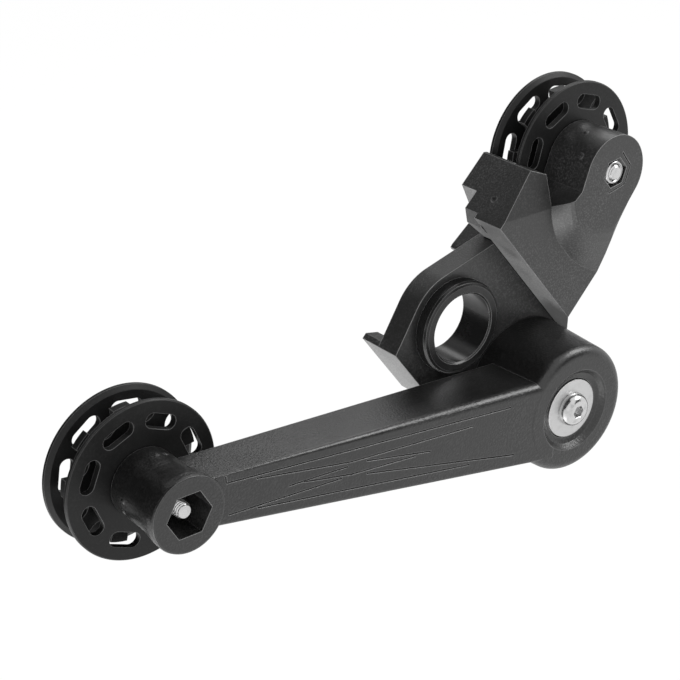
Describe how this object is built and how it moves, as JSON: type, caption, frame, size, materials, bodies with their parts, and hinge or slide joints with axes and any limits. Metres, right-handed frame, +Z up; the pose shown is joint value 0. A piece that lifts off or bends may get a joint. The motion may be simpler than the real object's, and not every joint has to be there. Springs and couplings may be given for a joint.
{
  "type": "bicycle chain tensioner",
  "caption": "Chain tensioner for a bicycle: a bracket on the wheel axle, a sprung swinging arm, and a flanged toothed guide wheel on each.",
  "frame": {"origin": "on the axle bore's axis, in the plate's back face, which seats against the bicycle's frame", "axes": "+Y along the axle towards the bicycle's frame, +Z up, +X from the lower wheel towards the arm's pivot"},
  "size_m": [0.2063, 0.0432, 0.1169],
  "materials": {
    "bracket_plastic": "fine grained, glass filled",
    "arm_plastic": "fine grained, glass filled",
    "wheel_plastic": "smooth satin",
    "collar_black": "gloss",
    "bush_plastic": "plain",
    "spring_steel": "drawn wire",
    "stainless": "bright"
  },
  "bodies": {
    "bracket": {"main_bracket": "bracket_plastic", "axle_collar": "collar_black", "pivot_bolt": "stainless", "pivot_washer": "stainless", "pivot_sleeve": "stainless", "pivot_nut": "stainless", "upper_wheel_bolt": "stainless", "upper_wheel_nut": "stainless", "upper_wheel_sleeve": "stainless", "upper_end_washer": "stainless"},
    "arm": {"tension_arm": "arm_plastic", "arm_bush": "bush_plastic", "torsion_spring": "spring_steel", "lower_wheel_bolt": "stainless", "lower_wheel_nut": "stainless", "lower_wheel_sleeve": "stainless", "lower_end_washer": "stainless"},
    "upper_wheel": {"upper_near_flange": "wheel_plastic", "upper_far_flange": "wheel_plastic", "upper_sprocket": "wheel_plastic", "upper_wheel_bush": "bush_plastic"},
    "lower_wheel": {"lower_near_flange": "wheel_plastic", "lower_far_flange": "wheel_plastic", "lower_sprocket": "wheel_plastic", "lower_wheel_bush": "bush_plastic"}
  },
  "joints": [
    {"name": "arm_pivot", "type": "hinge", "parent": "bracket", "child": "arm", "pos_m": [0.0288, -0.02, -0.0285], "axis": [0, -1, 0], "range_deg": [0, 95], "stiffness_Nm_per_rad": 0.6, "springref_deg": -45.84, "deforming": ["torsion_spring"]},
    {"name": "upper_wheel_spin", "type": "hinge", "parent": "bracket", "child": "upper_wheel", "pos_m": [0.0471, -0.0021, 0.0428], "axis": [0, -1, 0], "continuous": true},
    {"name": "lower_wheel_spin", "type": "hinge", "parent": "arm", "child": "lower_wheel", "pos_m": [-0.1118, -0.0021, -0.0142], "axis": [0, -1, 0], "continuous": true}
  ]
}
